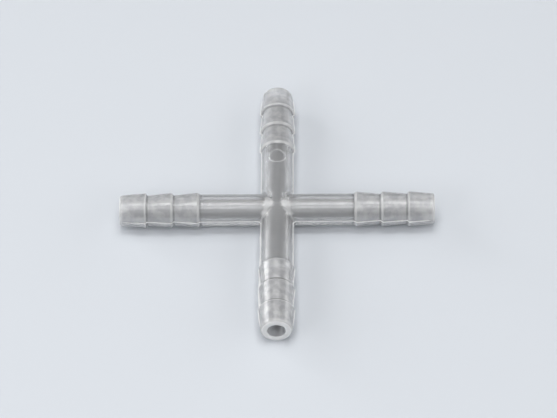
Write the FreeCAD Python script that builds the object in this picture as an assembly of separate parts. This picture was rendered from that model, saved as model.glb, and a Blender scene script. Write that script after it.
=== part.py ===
import FreeCAD, Part

import math
import os

Vector = FreeCAD.Vector

# A one-piece moulded cross connector for small hose, in millimetres.
# Two straight tubes cross at the origin, one along X and one along Y, and
# each of the four arms ends in a barbed spigot that a hose is pushed over.
# Z is up. The plane through both tubes is where the two mould halves met.

# The two tubes
half_span = 40.0            # hub centre to each mouth
shank_diameter = 8.0        # plain tube between the hub and the barbs
bore_diameter = 4.5         # straight through, in both directions
hub_fillet = 0.8            # rounded corner where two tubes meet

# Barbs, counted from the mouth inwards
barb_count = 3
barb_pitch = 6.6            # from one crest to the next, and mouth to first crest
crest_diameter = 8.85
crest_land = 0.25           # short cylinder on top of each barb
root_diameter = 7.75        # where a barb's cone starts, and at the mouth
first_back_run = 0.35       # how far the back of the outermost barb slopes
back_run_step = 0.2         # each barb further in has a softer back

# Mouths
mouth_rounding = 0.7        # outer edge of each mouth
bore_chamfer = 0.15         # edge of the bore at each mouth

# Fin left along the parting line
fin_height = 0.22           # above the tube and in the valleys between barbs
fin_thickness = 0.15
crest_fin_height = 0.17     # above the crests of the inner barbs
seal_relief = 0.05          # under the outermost crest, which a hose seals on

# Excess material squeezed out on one side of the arm along -Y
flash_start = 9.0           # from the hub centre
flash_height = 0.16         # how far its waves stand out
flash_wave = 9.5            # from one wave to the next
flash_step = 0.95           # length of one straight bit of its edge
flash_valley_fill = 0.03    # above the crests, so that the valleys are filled

# Round mark that the ejector pin left on top of the arm along +Y
ejector_mark_diameter = 4.35
ejector_mark_depth = 0.06
ejector_mark_to_barb = 2.1  # from the mark's edge to the foot of the inner barb

shank_radius = shank_diameter / 2
bore_radius = bore_diameter / 2
crest_radius = crest_diameter / 2
root_radius = root_diameter / 2
arm_directions = (0, 90, 180, 270)


def crest_at(barb):
    return half_span - (barb + 1) * barb_pitch


def foot_at(barb):
    return crest_at(barb) - first_back_run - barb * back_run_step


def polyline(points):
    return [Part.LineSegment(a, b).toShape() for a, b in zip(points, points[1:])]


# The barbed end of one arm along +X, from the foot of the inner barb to the
# mouth, turned from half a section. The mouth's outer edge is an arc that is
# tangent to the last cone and to the end face.
def barbed_end():
    start = foot_at(barb_count - 1)
    points = [Vector(start, 0, 0), Vector(start, shank_radius, 0)]
    for barb in reversed(range(barb_count)):
        if barb < barb_count - 1:
            points.append(Vector(foot_at(barb), root_radius, 0))
        points.append(Vector(crest_at(barb), crest_radius, 0))
        points.append(Vector(crest_at(barb) + crest_land, crest_radius, 0))
    last = points[-1]
    slope = math.atan2(crest_radius - root_radius, half_span - last.x)
    centre = Vector(half_span - mouth_rounding,
                    root_radius - mouth_rounding * (1 - math.sin(slope)) / math.cos(slope), 0)
    on_cone = centre + Vector(math.sin(slope), math.cos(slope), 0) * mouth_rounding
    on_face = centre + Vector(mouth_rounding, 0, 0)
    halfway = (math.pi / 2 - slope) / 2
    on_arc = centre + Vector(math.cos(halfway), math.sin(halfway), 0) * mouth_rounding
    points.append(on_cone)
    edges = polyline(points)
    edges.append(Part.Arc(on_cone, on_arc, on_face).toShape())
    edges += polyline([on_face, Vector(half_span, 0, 0), Vector(start, 0, 0)])
    section = Part.Face(Part.Wire(edges))
    return section.revolve(Vector(0, 0, 0), Vector(1, 0, 0), 360)


def turned(shape, degrees):
    copy = shape.copy()
    copy.rotate(Vector(0, 0, 0), Vector(0, 0, 1), degrees)
    return copy


# The plain crossed tubes, solid inside, with the corners between them rounded.
def hub():
    length = foot_at(barb_count - 1)
    tube = Part.makeCylinder(shank_radius, 2 * length, Vector(-length, 0, 0), Vector(1, 0, 0))
    crossed = tube.fuse(turned(tube, 90)).removeSplitter()
    corners = [edge for edge in crossed.Edges
               if max(edge.BoundBox.XMax, -edge.BoundBox.XMin) < shank_radius * 1.01
               and max(edge.BoundBox.YMax, -edge.BoundBox.YMin) < shank_radius * 1.01]
    return crossed.makeFillet(hub_fillet, corners)


# Edge of the fin along one side of an arm: distance from the hub centre and
# distance from the arm's axis, from the hub outwards. It ends inside the mouth.
def fin_side():
    edge = [(shank_radius + hub_fillet, shank_radius + fin_height)]
    for barb in reversed(range(barb_count)):
        valley = shank_radius if barb == barb_count - 1 else root_radius
        top = crest_radius + (crest_fin_height if barb > 0 else -seal_relief)
        edge.append((foot_at(barb), valley + fin_height))
        edge.append((crest_at(barb), top))
        edge.append((crest_at(barb) + crest_land, top))
    return edge + fin_end()


def fin_end():
    return [(half_span - mouth_rounding, root_radius + fin_height / 2),
            (half_span - mouth_rounding / 4, root_radius - mouth_rounding / 2)]


# The same for the side with excess material. It stands out in waves, fills the
# valleys between the inner barbs and keeps below the outermost crest.
def flash_side():
    edge = [(shank_radius + hub_fillet, shank_radius + fin_height),
            (flash_start, shank_radius + fin_height)]
    seal = crest_at(0) - first_back_run
    steps = math.floor((seal - flash_start) / flash_step)
    for step in range(1, steps + 1):
        along = flash_start + step * (seal - flash_start) / steps
        wave = 0.5 + 0.5 * math.cos(2 * math.pi * (along - flash_start) / flash_wave)
        past_tube = min(max((along - foot_at(barb_count - 1)) / barb_pitch * 4, 0), 1)
        base = shank_radius + fin_height
        base += (crest_radius + flash_valley_fill - base) * past_tube
        edge.append((along, base + flash_height * wave))
    edge.append((crest_at(0), crest_radius - seal_relief))
    edge.append((half_span - barb_pitch / 2, crest_radius - seal_relief))
    return edge + fin_end()


# The thin fin round the whole outline, in the plane of the four bores.
def parting_fin():
    corner = shank_radius + hub_fillet
    reach = hub_fillet - fin_height
    inner = corner - reach * math.sqrt(0.5)
    edges = []
    for degrees in arm_directions:
        angle = math.radians(degrees)
        along = Vector(math.cos(angle), math.sin(angle), 0)
        across = Vector(-along.y, along.x, 0)
        outwards = flash_side() if degrees == 270 else fin_side()
        points = [along * a - across * b for a, b in outwards]
        points += [along * a + across * b for a, b in reversed(fin_side())]
        edges += polyline(points)
        turn_middle = (along + across) * inner
        turn_end = across * corner + along * (shank_radius + fin_height)
        edges.append(Part.Arc(points[-1], turn_middle, turn_end).toShape())
    face = Part.Face(Part.Wire(Part.sortEdges(edges)[0]))
    face.translate(Vector(0, 0, -fin_thickness / 2))
    return face.extrude(Vector(0, 0, fin_thickness))


# One straight bore along X with its two chamfered mouth edges, as a solid to cut.
def bore():
    wide = bore_radius + bore_chamfer
    past_mouth = half_span + crest_radius
    section = Part.Face(Part.Wire(polyline([
        Vector(0, 0, 0), Vector(0, bore_radius, 0), Vector(half_span - bore_chamfer, bore_radius, 0),
        Vector(half_span, wide, 0), Vector(past_mouth, wide, 0), Vector(past_mouth, 0, 0),
        Vector(0, 0, 0)])))
    half_bore = section.revolve(Vector(0, 0, 0), Vector(1, 0, 0), 360)
    return half_bore.fuse(turned(half_bore, 180)).removeSplitter()


# Round, shallow and curved with the tube, on top of the arm along +Y.
def ejector_mark():
    radius = ejector_mark_diameter / 2
    centre = foot_at(barb_count - 1) - ejector_mark_to_barb - radius
    pin = Part.makeCylinder(radius, crest_diameter, Vector(0, centre, 0), Vector(0, 0, 1))
    floor = Part.makeCylinder(shank_radius - ejector_mark_depth, 2 * ejector_mark_diameter,
                              Vector(0, centre - ejector_mark_diameter, 0), Vector(0, 1, 0))
    return pin.cut(floor)


def cross_connector():
    body = hub()
    end = barbed_end()
    body = body.multiFuse([turned(end, degrees) for degrees in arm_directions] + [parting_fin()])
    run = bore()
    body = body.cut(run.fuse(turned(run, 90)))
    return body.cut(ejector_mark()).removeSplitter()


os.makedirs("parts", exist_ok=True)
connector = cross_connector()
connector.exportStep("parts/cross_connector.step")
print("solids", len(connector.Solids), "valid", connector.isValid(),
      "volume", round(connector.Volume, 1), "faces", len(connector.Faces))
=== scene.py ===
import math

import bpy
from mathutils import Matrix, Vector


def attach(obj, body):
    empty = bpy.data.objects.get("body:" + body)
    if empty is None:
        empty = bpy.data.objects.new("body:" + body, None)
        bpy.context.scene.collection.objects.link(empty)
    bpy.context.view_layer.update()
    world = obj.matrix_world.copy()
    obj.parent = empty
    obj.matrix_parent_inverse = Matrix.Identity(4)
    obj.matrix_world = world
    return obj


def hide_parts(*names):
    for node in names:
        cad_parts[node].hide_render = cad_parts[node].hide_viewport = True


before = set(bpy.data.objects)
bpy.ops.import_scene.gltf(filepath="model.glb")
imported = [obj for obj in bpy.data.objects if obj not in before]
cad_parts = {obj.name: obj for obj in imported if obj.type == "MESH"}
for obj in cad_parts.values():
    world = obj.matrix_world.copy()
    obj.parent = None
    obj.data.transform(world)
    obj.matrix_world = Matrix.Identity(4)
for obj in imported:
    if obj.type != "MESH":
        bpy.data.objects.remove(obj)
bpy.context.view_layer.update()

mm = 0.001
print("frame loaded")


def deselectAll():
    if bpy.context.object is not None and bpy.context.object.mode != "OBJECT":
        bpy.ops.object.mode_set(mode="OBJECT")
    bpy.ops.object.select_all(action="DESELECT")


def makeActive(piece):
    deselectAll()
    piece.select_set(True)
    bpy.context.view_layer.objects.active = piece


def editAll(piece):
    makeActive(piece)
    bpy.ops.object.mode_set(mode="EDIT")
    bpy.ops.mesh.select_mode(type="VERT")
    bpy.ops.mesh.select_all(action="SELECT")


def backToObject():
    bpy.ops.object.mode_set(mode="OBJECT")


# Goes to edit mode with only the edges or faces that pass the test selected.
def pickParts(piece, kind, test):
    makeActive(piece)
    mesh = piece.data
    bpy.context.tool_settings.mesh_select_mode = (False, kind == "EDGE", kind == "FACE")
    for group in (mesh.vertices, mesh.edges, mesh.polygons):
        group.foreach_set("select", [False] * len(group))
    if kind == "EDGE":
        places = [v.co.copy() for v in mesh.vertices]
        mesh.edges.foreach_set("select", [test(places[e.vertices[0]], places[e.vertices[1]])
                                          for e in mesh.edges])
    else:
        mesh.polygons.foreach_set("select", [test(p.center) for p in mesh.polygons])
    bpy.ops.object.mode_set(mode="EDIT")


# The cross is one moulded piece. Lengths are in mm, x is the distance from
# the middle of the cross along an arm, and r the distance from the arm's axis.
cross = {
    "segments": 128,
    "halfSpan": 40.0,
    "shankRadius": 4.0,
    "boreRadius": 2.25,
    "wallMiddle": 3.0,          # radius between the bore and the outside
    "crests": (20.2, 26.8, 33.4),
    "feet": (19.45, 26.25, 33.05),
    "crestLand": 0.25,
    "crestRadius": 4.425,
    "rootRadius": 3.875,
    "mouthRounding": 0.7,
    "mouthSegments": 9,
    "boreChamfer": 0.15,
    "edgeSoftness": 0.05,
    "edgeSegments": 3,
    "hubRing": 5.5,             # first ring, clear of the hub's corners
    "stationStep": 0.55,        # from one ring to the next along the outside
    "lastRing": 39.1,           # clear of the mouth's rounding
    "faceRing": 3.05,           # radius of the ring on the mouth's face
    "boreRings": (34.0, 28.0, 22.0, 16.0, 11.0, 6.0),
    "mitreSpread": 1.3,         # slope of the cuts beside the mitre
    # rounded edges in the hub: radii and height that they keep within, share
    # of the faces beside them that they take, and segments
    "hubCorners": {"radii": (3.0, 5.0), "height": 3.85, "share": 66.7, "segments": 8},
    "boreCorners": {"radii": (2.0, 2.5), "height": 2.1, "share": 45.0, "segments": 3},
    "smoothAngle": 32,          # degrees
}
fin = {                         # left along the parting line
    "height": 0.2,
    "halfThickness": 0.075,
    "slack": 1.01,              # share of that within which a point is on the fin
    "ends": (37.0, 39.3),       # where it starts to sink, and is gone
    "stripEnd": 39.35,
}
flash = {                       # waves of squeezed-out plastic on one side
    "start": 9.0,
    "lead": 0.1,
    "end": 33.05,
    "height": 0.16,
    "wave": 9.5,
    "rise": 1.65,               # how soon it climbs to the crests
    "fill": 0.03,               # above the crests
    "clear": 0.05,              # a point further out than this is on the fin's edge
}
mark = {                        # left by the ejector pin
    "diameter": 4.35,
    "at": 15.175,
    "depth": 0.06,
    "edge": 0.16,
    "margin": 0.4,              # finer faces this far round it
    "cuts": 5,
    "above": 2.5,
}
hubHighlights = {                    # painted highlights on the cross bore's walls, where its core pins met the long one
    "pinTips": 3.1,             # how far they reach along it
    "crossingShare": 0.7,       # how much of the rounding between the bores is painted white as a highlight
}


def ringsOfArm():
    c = cross
    rings = [(0.0, c["shankRadius"]), (c["hubRing"], c["shankRadius"])]
    corners = [(c["feet"][0], c["shankRadius"])]
    for barb in range(3):
        if barb > 0:
            corners.append((c["feet"][barb], c["rootRadius"]))
        corners.append((c["crests"][barb], c["crestRadius"]))
        corners.append((c["crests"][barb] + c["crestLand"], c["crestRadius"]))
    crestEnd = corners[-1][0]
    drop = (c["crestRadius"] - c["rootRadius"]) / (c["halfSpan"] - crestEnd)
    onCone = (c["lastRing"], c["crestRadius"] - drop * (c["lastRing"] - crestEnd))
    for x, r in corners + [onCone]:
        x0, r0 = rings[-1]
        steps = max(1, round((x - x0) / c["stationStep"]))
        for s in range(1, steps + 1):
            t = s / steps
            rings.append((x0 + (x - x0) * t, r0 + (r - r0) * t))
    # the mouth's edge, an arc that leaves the cone and meets the face smoothly
    slope, rounding = math.atan(drop), c["mouthRounding"]
    arcRadius = c["rootRadius"] - rounding * (1 - math.sin(slope)) / math.cos(slope)
    for s in range(c["mouthSegments"] + 1):
        turn = slope + (math.pi / 2 - slope) * s / c["mouthSegments"]
        rings.append((c["halfSpan"] - rounding * (1 - math.sin(turn)),
                      arcRadius + rounding * math.cos(turn)))
    rings += [(c["halfSpan"], c["faceRing"]),
              (c["halfSpan"], c["boreRadius"] + c["boreChamfer"]),
              (c["halfSpan"] - c["boreChamfer"], c["boreRadius"])]
    rings += [(x, c["boreRadius"]) for x in (*c["boreRings"], hubHighlights["pinTips"], 0.0)]
    return rings, corners


def addArm():
    c = cross
    rings, corners = ringsOfArm()
    deselectAll()
    bpy.ops.mesh.primitive_circle_add(vertices=c["segments"], radius=rings[0][1] * mm,
                                      rotation=(0, math.pi / 2, 0))
    arm = bpy.context.object
    bpy.ops.object.transform_apply(location=True, rotation=True, scale=True)
    editAll(arm)
    for (x0, r0), (x, r) in zip(rings, rings[1:]):
        bpy.ops.mesh.extrude_region_move(TRANSFORM_OT_translate={"value": ((x - x0) * mm, 0, 0)})
        if r != r0:
            bpy.ops.transform.resize(value=(1, r / r0, r / r0), center_override=(x * mm, 0, 0))
    backToObject()

    def onBarbEdge(a, b):
        return (abs(a.x - b.x) < 1e-7 and any(abs(a.x - x * mm) < 2e-7 for x, r in corners)
                and math.hypot(a.y, a.z) > c["wallMiddle"] * mm)

    pickParts(arm, "EDGE", onBarbEdge)
    bpy.ops.mesh.bevel(offset_type="OFFSET", offset=c["edgeSoftness"] * mm,
                       segments=c["edgeSegments"], profile=0.5, affect="EDGES")
    backToObject()
    return arm


# Distance of the outline, without its fin, from the arm's axis.
def outlineAt(x):
    c = cross
    if x <= c["feet"][0]:
        return c["shankRadius"]
    for barb in range(3):
        foot, crest = c["feet"][barb], c["crests"][barb]
        low = c["shankRadius"] if barb == 0 else c["rootRadius"]
        if x <= crest:
            return low + (c["crestRadius"] - low) * (x - foot) / (crest - foot)
        if x <= crest + c["crestLand"]:
            return c["crestRadius"]
        end = c["feet"][barb + 1] if barb < 2 else c["halfSpan"]
        if x <= end:
            return c["crestRadius"] + (c["rootRadius"] - c["crestRadius"]) * (
                x - crest - c["crestLand"]) / (end - crest - c["crestLand"])
    return c["rootRadius"]


def finAt(x):
    sinks, gone = fin["ends"]
    return outlineAt(x) + fin["height"] * min(1, max(0, (gone - x) / (gone - sinks)))


# The squeezed-out edge also fills the valleys between the inner barbs.
def flashAt(x):
    c = cross
    wave = 0.5 + 0.5 * math.cos(2 * math.pi * (x - flash["start"]) / flash["wave"])
    pastTube = min(max((x - c["feet"][0]) / flash["rise"], 0), 1)
    base = c["shankRadius"] + fin["height"]
    base += (c["crestRadius"] + flash["fill"] - base) * pastTube
    return base + flash["height"] * wave


# The thin fin of the parting line, pulled out of a strip along both sides.
def addFins(arm):
    half = fin["halfThickness"] * mm
    for z in (half, -half):
        editAll(arm)
        bpy.ops.mesh.bisect(plane_co=(0, 0, z), plane_no=(0, 0, 1), threshold=1e-8)
        backToObject()
    for side in (1, -1):
        pickParts(arm, "FACE", lambda p: abs(p.z) < half and p.x < fin["stripEnd"] * mm
                  and p.y * side > cross["wallMiddle"] * mm)
        bpy.ops.mesh.extrude_region_move(TRANSFORM_OT_translate={"value": (0, 0, 0)})
        backToObject()
        for v in arm.data.vertices:
            if v.select:
                v.co.y = side * finAt(v.co.x / mm) * mm


# Cuts the arm's inner end to a point, and cuts beside that for the rounding.
def mitre(arm):
    editAll(arm)
    for side in (1, -1):
        bpy.ops.mesh.select_all(action="SELECT")
        bpy.ops.mesh.bisect(plane_co=(0, 0, 0), plane_no=(-1, side, 0), clear_outer=True,
                            threshold=1e-8)
        bpy.ops.mesh.select_all(action="SELECT")
        bpy.ops.mesh.bisect(plane_co=(0, 0, 0), plane_no=(-1, side * cross["mitreSpread"], 0),
                            threshold=1e-8)
    backToObject()


def joinArms(arm):
    arms = [arm]
    for turn in (1, 2, 3):
        makeActive(arm)
        bpy.ops.object.duplicate()
        copy = bpy.context.object
        copy.rotation_euler = (0, 0, turn * math.pi / 2)
        bpy.ops.object.transform_apply(location=True, rotation=True, scale=True)
        arms.append(copy)
    deselectAll()
    for a in arms:
        a.select_set(True)
    bpy.context.view_layer.objects.active = arm
    bpy.ops.object.join()
    editAll(arm)
    bpy.ops.mesh.remove_doubles(threshold=5e-7)
    bpy.ops.mesh.normals_make_consistent(inside=False)
    backToObject()
    top = max(arm.data.polygons, key=lambda p: p.center.z)
    if top.normal.z < 0:  # the crossing bores can turn the whole shell inside out
        editAll(arm)
        bpy.ops.mesh.flip_normals()
        backToObject()
    return arm


# Rounds the corners where the tubes meet, and where the bores cross.
def roundHub(piece):
    def onMitre(p):
        return abs(abs(p.x) - abs(p.y)) < 2e-7

    def hubEdge(a, b, kind):
        low, high = kind["radii"]
        return (onMitre(a) and onMitre(b) and a.x * b.x > 0 and a.y * b.y > 0
                and low * mm < math.hypot(a.x, a.z) < high * mm
                and max(abs(a.z), abs(b.z)) < kind["height"] * mm)

    for kind in (cross["hubCorners"], cross["boreCorners"]):
        pickParts(piece, "EDGE", lambda a, b: hubEdge(a, b, kind))
        bpy.ops.mesh.bevel(offset_type="PERCENT", offset_pct=kind["share"],
                           segments=kind["segments"], profile=0.5, affect="EDGES",
                           clamp_overlap=False)
        backToObject()


def inFinPlane(z):
    return abs(z) < fin["halfThickness"] * fin["slack"]


def addFlash(piece):
    for v in piece.data.vertices:
        x, along, z = -v.co.x / mm, -v.co.y / mm, v.co.z / mm
        if (flash["start"] - flash["lead"] < along < flash["end"] and inFinPlane(z)
                and x > cross["shankRadius"] and x > outlineAt(along) + flash["clear"]):
            v.co.x = -max(flashAt(along), x) * mm


# A shallow round dent with a soft edge on top of the arm that points away.
def addEjectorMark(piece):
    radius = mark["diameter"] / 2
    reach = (radius + mark["margin"]) * mm
    pickParts(piece, "FACE", lambda p: p.z > mark["above"] * mm and abs(p.x) < reach
              and abs(p.y - mark["at"] * mm) < reach)
    bpy.ops.mesh.subdivide(number_cuts=mark["cuts"])
    backToObject()
    for v in piece.data.vertices:
        if v.select:
            off = math.hypot(v.co.x, v.co.y - mark["at"] * mm) / mm
            t = min(max((radius - off) / mark["edge"], 0), 1)
            depth = mark["depth"] * t * t * (3 - 2 * t)
            scale = (cross["shankRadius"] - depth) * mm / math.hypot(v.co.x, v.co.z)
            v.co.x *= scale
            v.co.z *= scale


arm = addArm()
print("arm made:", len(arm.data.vertices), "points")
addFins(arm)
mitre(arm)
connector = joinArms(arm)
connector.name = "crossBody"
roundHub(connector)
addFlash(connector)
addEjectorMark(connector)
print("cross made:", len(connector.data.vertices), "points")


def newGroup(name, inputs, outputs):
    group = bpy.data.node_groups.new(name, "ShaderNodeTree")
    for kind, label, value in inputs:
        socket = group.interface.new_socket(label, in_out="INPUT", socket_type=kind)
        if value is not None:
            socket.default_value = value
    for label in outputs:
        group.interface.new_socket(label, in_out="OUTPUT", socket_type="NodeSocketFloat")
    start = group.nodes.new("NodeGroupInput")
    end = group.nodes.new("NodeGroupOutput")
    return group, group.nodes, group.links, start, end


def giveSocket(links, value, socket):
    if isinstance(value, bpy.types.NodeSocket):
        links.new(value, socket)
    else:
        socket.default_value = value


def mathNode(nodes, links, operation, *values):
    node = nodes.new("ShaderNodeMath")
    node.operation = operation
    for place, value in enumerate(values):
        giveSocket(links, value, node.inputs[place])
    return node.outputs[0]


def rangeNode(nodes, links, value, low, high, toLow=0.0, toHigh=1.0):
    node = nodes.new("ShaderNodeMapRange")
    node.interpolation_type = "SMOOTHSTEP"
    for label, given in (("Value", value), ("From Min", low), ("From Max", high),
                         ("To Min", toLow), ("To Max", toHigh)):
        giveSocket(links, given, node.inputs[label])
    return node.outputs["Result"]


def mixColour(nodes, links, factor, a, b):
    node = nodes.new("ShaderNodeMix")
    node.data_type = "RGBA"
    links.new(factor, node.inputs[0])
    giveSocket(links, a, node.inputs[6])
    giveSocket(links, b, node.inputs[7])
    return node.outputs[2]


# Tells the parts of the surface apart by their place on the cross, in metres.
maskPlaces = {
    "Bore Radius": 0.00225,
    "Mouth Start": 0.035, "Mouth Blend": 0.004,
    "Tip Start": 0.0006, "Tip End": 0.0036, "Tip Blend": 0.0006,
    "Crest At": 0.01995, "Crest Pitch": 0.0067, "Crest Reach": 0.00042,
    "Foot At": 0.01936, "Foot Pitch": 0.0068, "Foot Reach": 0.00035,
    "Rim Start": 0.0386, "Rim Blend": 0.0012,
}


def armMasks():
    group, nodes, links, start, end = newGroup(
        "armMasks",
        [("NodeSocketVector", "Vector", None)]
        + [("NodeSocketFloat", label, value) for label, value in maskPlaces.items()],
        ("Bore", "Mouth", "Pin Tips", "Crest", "Foot", "Rim"))
    boreEdge = (0.00003, 0.00012)   # past the bore's radius, where its walls end
    betweenBores = (0.00005, 0.0003)
    lineCore = 0.4                  # share of a line's reach that is full
    barbsReach = 0.009              # from the middle barb, and clear of the mouth
    split = nodes.new("ShaderNodeSeparateXYZ")
    links.new(start.outputs["Vector"], split.inputs[0])
    x, y, z = (split.outputs[i] for i in range(3))

    def node(operation, *values):
        return mathNode(nodes, links, operation, *values)

    zz = node("MULTIPLY", z, z)
    fromX = node("SQRT", node("ADD", node("MULTIPLY", y, y), zz))
    fromY = node("SQRT", node("ADD", node("MULTIPLY", x, x), zz))
    # Bore marks the bore's walls, which the plastics darken as painted shade
    edge = node("SUBTRACT", node("MINIMUM", fromX, fromY), start.outputs["Bore Radius"])
    links.new(rangeNode(nodes, links, edge, *boreEdge, 1.0, 0.0), end.inputs["Bore"])
    absX = node("ABSOLUTE", x)
    along = node("MAXIMUM", absX, node("ABSOLUTE", y))

    def past(value, place, blend):
        return rangeNode(nodes, links, node("DIVIDE", node("SUBTRACT", value, place), blend),
                         0.0, 1.0)

    # Mouth fades the bore's painted shade out near the mouths; Rim paints a highlight on the
    # mouths' rounded edges
    for label in ("Mouth", "Rim"):
        links.new(past(along, start.outputs[label + " Start"], start.outputs[label + " Blend"]),
                  end.inputs[label])
    # Crest is a band of painted highlight over each barb's back and crest, Foot a line of
    # painted shade at its foot
    for label in ("Crest", "Foot"):  # both come back at their own pitch
        pitch = start.outputs[label + " Pitch"]
        away = node("PINGPONG", node("SUBTRACT", along, start.outputs[label + " At"]),
                    node("MULTIPLY", pitch, 0.5))
        near = rangeNode(nodes, links, node("DIVIDE", away, start.outputs[label + " Reach"]),
                         lineCore, 1.0, 1.0, 0.0)
        middle = node("ADD", start.outputs[label + " At"], pitch)
        links.new(node("MULTIPLY", near, node("COMPARE", along, middle, barbsReach)),
                  end.inputs[label])
    # the cross bore's walls near the hub, where its core pins met the long one, which get a
    # painted highlight
    tips = node("MULTIPLY",
                past(absX, start.outputs["Tip Start"], start.outputs["Tip Blend"]),
                past(start.outputs["Tip End"], absX, start.outputs["Tip Blend"]))
    ofCrossBore = rangeNode(nodes, links, node("SUBTRACT", fromY, fromX), *betweenBores)
    links.new(node("MULTIPLY", tips, ofCrossBore), end.inputs["Pin Tips"])
    return group


# Soft clouds and fine grain, as moulded polypropylene has.
def mouldClouds():
    group, nodes, links, start, end = newGroup(
        "mouldClouds",
        [("NodeSocketVector", "Vector", None), ("NodeSocketFloat", "Cloud Scale", 520.0),
         ("NodeSocketFloat", "Grain Scale", 900.0)],
        ("Cloud", "Grain"))
    for label, detail, low, high in (("Cloud", 3.0, 0.35, 0.65), ("Grain", 2.0, 0.3, 0.7)):
        noise = nodes.new("ShaderNodeTexNoise")
        noise.inputs["Detail"].default_value = detail
        links.new(start.outputs["Vector"], noise.inputs["Vector"])
        links.new(start.outputs[label + " Scale"], noise.inputs["Scale"])
        links.new(rangeNode(nodes, links, noise.outputs["Fac"], low, high), end.inputs[label])
    return group


plasticFinish = {
    "clearColour": (0.9, 0.905, 0.915, 1),
    "milkyColour": (0.985, 0.985, 0.985, 1),
    # painted highlight on the barbs' backs and crests and on the mouths' rounded edges
    "crestHighlightColour": (0.99, 0.99, 0.99, 1),
    # painted shade at the foot of each barb's back
    "footShadeColour": (0.7, 0.707, 0.72, 1),
    # painted shade inside the bore
    "boreShadeColour": (0.5, 0.505, 0.515, 1),
    # the bore's walls near the mouths, without the painted shade
    "mouthBoreColour": (0.93, 0.93, 0.935, 1),
    # painted highlight on the bore's walls near the hub
    "tipBoreHighlightColour": (0.97, 0.972, 0.975, 1),
    "skinRoughness": (0.2, 0.1),
    "boreRoughness": 0.3,
    "transmission": 0.84,
    "ior": 1.49,
    "coat": 0.3,
    "coatRoughness": 0.12,
    "bump": 0.06,
    "bumpDepth": 0.0001,
}
# The barbed ends scatter more light than the tubes. The mouths' faces and the cross bore's walls
# near the hub are made whiter still, as painted highlights.
milkyFinish = dict(
    plasticFinish, clearColour=(0.62, 0.626, 0.64, 1), milkyColour=(0.81, 0.814, 0.82, 1),
    crestHighlightColour=(0.95, 0.95, 0.95, 1), footShadeColour=(0.45, 0.455, 0.465, 1),
    skinRoughness=(0.25, 0.12), transmission=0.58, coatRoughness=0.15, bump=0.2)
# less clear still, to paint highlights on the mouths' faces and near the hub
highlightWhiteFinish = dict(milkyFinish, transmission=0.25)
finAndHighlightFinish = {
    "colour": (0.96, 0.965, 0.97, 1),
    "thickColour": (0.9, 0.905, 0.91, 1),
    "roughness": (0.3, 0.4),
    "transmission": 0.3,
    "bump": 0.1,
}
masksGroup, cloudsGroup = armMasks(), mouldClouds()


def startMaterial(name):
    material = bpy.data.materials.new(name)
    material.use_nodes = True
    nodes, links = material.node_tree.nodes, material.node_tree.links
    place = nodes.new("ShaderNodeTexCoord")
    return material, nodes, links, nodes["Principled BSDF"], place.outputs["Object"]


def addGroup(nodes, links, group, place):
    node = nodes.new("ShaderNodeGroup")
    node.node_tree = group
    links.new(place, node.inputs["Vector"])
    return node.outputs


def addGrain(nodes, links, shader, clouds, strength):
    bump = nodes.new("ShaderNodeBump")
    bump.inputs["Strength"].default_value = strength
    bump.inputs["Distance"].default_value = plasticFinish["bumpDepth"]
    links.new(clouds["Grain"], bump.inputs["Height"])
    links.new(bump.outputs["Normal"], shader.inputs["Normal"])


def makePlastic(name, p):
    material, nodes, links, shader, place = startMaterial(name)
    clouds = addGroup(nodes, links, cloudsGroup, place)
    masks = addGroup(nodes, links, masksGroup, place)
    for socket, value in (("IOR", p["ior"]), ("Transmission Weight", p["transmission"]),
                          ("Coat Weight", p["coat"]), ("Coat Roughness", p["coatRoughness"])):
        shader.inputs[socket].default_value = value
    skin = mixColour(nodes, links, clouds["Cloud"], p["clearColour"], p["milkyColour"])
    # painted highlight on the barbs' backs and crests and on the mouths' rims
    paintedHighlight = mathNode(nodes, links, "MAXIMUM", masks["Crest"], masks["Rim"])
    skin = mixColour(nodes, links, paintedHighlight, skin, p["crestHighlightColour"])
    # painted shade at the barbs' feet
    skin = mixColour(nodes, links, masks["Foot"], skin, p["footShadeColour"])
    # painted shade inside the bore, fading out toward the mouths, with a painted highlight near
    # the hub
    boreWallShadeAndHighlight = mixColour(nodes, links, masks["Mouth"], p["boreShadeColour"], p["mouthBoreColour"])
    boreWallShadeAndHighlight = mixColour(nodes, links, masks["Pin Tips"], boreWallShadeAndHighlight, p["tipBoreHighlightColour"])
    links.new(mixColour(nodes, links, masks["Bore"], skin, boreWallShadeAndHighlight), shader.inputs["Base Color"])
    skinRough = rangeNode(nodes, links, clouds["Cloud"], 0.0, 1.0, *p["skinRoughness"])
    rough = rangeNode(nodes, links, masks["Bore"], 0.0, 1.0, skinRough, p["boreRoughness"])
    links.new(rough, shader.inputs["Roughness"])
    addGrain(nodes, links, shader, clouds, p["bump"])
    return material


# The thin fin and flash are whiter and less clear than the body, a painted highlight along the
# outlines. This plastic also paints the highlights where the bores cross and on the ejector
# mark's edge.
def makeFinAndHighlightPlastic():
    p = finAndHighlightFinish
    material, nodes, links, shader, place = startMaterial("partingFinAndHighlights")
    clouds = addGroup(nodes, links, cloudsGroup, place)
    shader.inputs["IOR"].default_value = plasticFinish["ior"]
    shader.inputs["Transmission Weight"].default_value = p["transmission"]
    links.new(mixColour(nodes, links, clouds["Cloud"], p["thickColour"], p["colour"]),
              shader.inputs["Base Color"])
    links.new(rangeNode(nodes, links, clouds["Grain"], 0.0, 1.0, *p["roughness"]),
              shader.inputs["Roughness"])
    addGrain(nodes, links, shader, clouds, p["bump"])
    return material


# Where one look of the plastic ends and the next starts, in mm.
lookPlaces = {
    "hubReach": 5.2,            # the fin round the hub's corners ends here,
    "hubFin": 3.9,              # and starts this far from either axis
    "finClear": 0.03,           # a face further out than this is on the fin
    "wallMargin": 0.1,
    "mouthMargin": 0.2,
    "ringAt": -0.08,            # the ring of painted highlight, from the edge of the ejector mark
    "ringHalfWidth": 0.1,
    "faceDepth": 0.15,          # a face nearer the end than this is the mouth's own
    "milkyLead": 0.4,           # the barbed end starts this far before its crest
}


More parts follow.
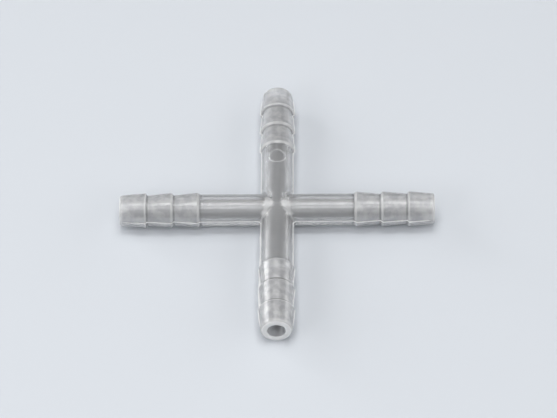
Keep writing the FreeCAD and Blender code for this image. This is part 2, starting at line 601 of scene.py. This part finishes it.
def onFin(x, y, z):
    if not inFinPlane(z):
        return False
    along, across = max(abs(x), abs(y)), min(abs(x), abs(y))
    if along < lookPlaces["hubReach"]:
        return across > lookPlaces["hubFin"]
    return across > outlineAt(along) + lookPlaces["finClear"]


# Which of the four looks a face has, from its middle.
def lookAt(middle):
    c, p = cross, lookPlaces
    x, y, z = (v / mm for v in middle)
    if onFin(x, y, z):
        return "fin"
    along, across = max(abs(x), abs(y)), min(abs(x), abs(y))
    if (math.hypot(across, z) < c["boreRadius"] + p["wallMargin"]
            and along < c["halfSpan"] - p["mouthMargin"]):
        crossing = hubHighlights["crossingShare"] * c["boreCorners"]["share"] / 100 * abs(y)
        if abs(abs(x) - abs(y)) < crossing:
            return "fin"  # painted highlight along the line where the bores cross
        # painted highlight on the cross bore's walls near the hub
        return "white" if abs(y) < abs(x) < hubHighlights["pinTips"] else "clear"
    ring = math.hypot(x, y - mark["at"]) - mark["diameter"] / 2
    if z > c["wallMiddle"] and abs(ring - p["ringAt"]) < p["ringHalfWidth"]:
        return "fin" if y < mark["at"] else "milky"  # painted highlight, brighter on the hub side
    # the mouth's face gets the whitest plastic, a painted highlight
    if along > c["halfSpan"] - p["faceDepth"]:
        return "white"
    return "milky" if along > c["crests"][0] - p["milkyLead"] else "clear"


looks = {
    "clear": makePlastic("naturalPolypropylene", plasticFinish),
    "milky": makePlastic("milkyPolypropylene", milkyFinish),
    "fin": makeFinAndHighlightPlastic(),
    "white": makePlastic("highlightWhitePolypropylene", highlightWhiteFinish),
}
connector.data.materials.clear()
for material in looks.values():
    connector.data.materials.append(material)
lookOrder = list(looks)
for face in connector.data.polygons:
    face.material_index = lookOrder.index(lookAt(face.center))
makeActive(connector)
bpy.ops.object.shade_smooth_by_angle(angle=math.radians(cross["smoothAngle"]))
print("plastic made")

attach(connector, "root")
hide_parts("cross_connector")

studio = {
    "floorZ": -4.425,
    "floorSize": 6,
    "floorColour": (0.62, 0.65, 0.69, 1),
    "floorRoughness": 0.85,
    "floorSpecular": 0.2,
    "worldColour": (0.62, 0.65, 0.70, 1),
    "worldStrength": 0.03,
    "lights": {                 # place, size, watts
        "overhead": ((0.0, 0.0, 0.95), (0.6, 0.3), 3.1),
        "overheadFront": ((0.0, -0.401, 0.861), (0.6, 0.3), 2.2),
        "overheadBack": ((0.0, 0.32, 0.894), (0.6, 0.5), 1.8),
        "front": ((0.0, -0.728, 0.611), (0.6, 0.3), 0.5),
        "backLeft": ((-0.75, 0.53, 0.22), (0.2, 0.4), 1.5),
        "backLeftHigh": ((-0.67, 0.52, 0.43), (0.2, 0.3), 0.6),
        "left": ((-0.89, 0.0, 0.36), (0.8, 0.6), 3.1),
        "frontLeft": ((-0.58, -0.58, 0.47), (0.3, 0.3), 1.5),
        "backRight": ((0.75, 0.53, 0.22), (0.25, 0.4), 0.7),
        "right": ((0.89, 0.0, 0.36), (0.8, 0.6), 2.4),
        "frontRight": ((0.58, -0.58, 0.47), (0.3, 0.3), 0.9),
    },
}


def addFloor():
    deselectAll()
    bpy.ops.mesh.primitive_plane_add(size=studio["floorSize"],
                                     location=(0, 0, studio["floorZ"] * mm))
    floor = bpy.context.object
    floor.name = "floor"
    paint = bpy.data.materials.new("floorPaint")
    paint.use_nodes = True
    shader = paint.node_tree.nodes["Principled BSDF"]
    shader.inputs["Base Color"].default_value = studio["floorColour"]
    shader.inputs["Roughness"].default_value = studio["floorRoughness"]
    shader.inputs["Specular IOR Level"].default_value = studio["floorSpecular"]
    floor.data.materials.append(paint)


def addWorld():
    world = bpy.data.worlds.new("studio")
    bpy.context.scene.world = world
    world.use_nodes = True
    sky = world.node_tree.nodes["Background"]
    sky.inputs["Color"].default_value = studio["worldColour"]
    sky.inputs["Strength"].default_value = studio["worldStrength"]


# Every lamp looks at the middle of the cross.
def addLight(name, place, size, watts):
    deselectAll()
    bpy.ops.object.light_add(type="AREA", location=place)
    lamp = bpy.context.object
    lamp.name = name
    lamp.data.shape = "RECTANGLE"
    lamp.data.size, lamp.data.size_y = size
    lamp.data.energy = watts
    lamp.rotation_euler = (-Vector(place)).to_track_quat("-Z", "Y").to_euler()


addFloor()
addWorld()
for name, (place, size, watts) in studio["lights"].items():
    addLight(name, place, size, watts)
print("studio made")

cameraSetting = {               # degrees, metres, and millimetres for the lens
    "elevation": 48.04,
    "azimuth": 1.23,
    "roll": -1.34,
    "distance": 0.700,
    "lens": 177.88,
    "sensor": 36,
    "shift": (0.0025, 0.0012),
    "clip": (0.01, 20),
}


def addCamera():
    s = cameraSetting
    e, a, r = (math.radians(s[k]) for k in ("elevation", "azimuth", "roll"))
    back = Vector((math.sin(a) * math.cos(e), -math.cos(a) * math.cos(e), math.sin(e)))
    right = (-back).cross(Vector((0, 0, 1))).normalized()
    up = right.cross(-back)
    turnedRight = right * math.cos(r) + up * math.sin(r)
    turnedUp = up * math.cos(r) - right * math.sin(r)
    deselectAll()
    bpy.ops.object.camera_add()
    camera = bpy.context.object
    camera.data.sensor_width = s["sensor"]
    camera.data.lens = s["lens"]
    camera.data.shift_x, camera.data.shift_y = s["shift"]
    camera.data.clip_start, camera.data.clip_end = s["clip"]
    turn = Matrix((turnedRight, turnedUp, back)).transposed()
    camera.matrix_world = Matrix.Translation(back * s["distance"]) @ turn.to_4x4()
    bpy.context.scene.camera = camera


addCamera()
bpy.context.scene.view_settings.view_transform = "Standard"
print("camera made")
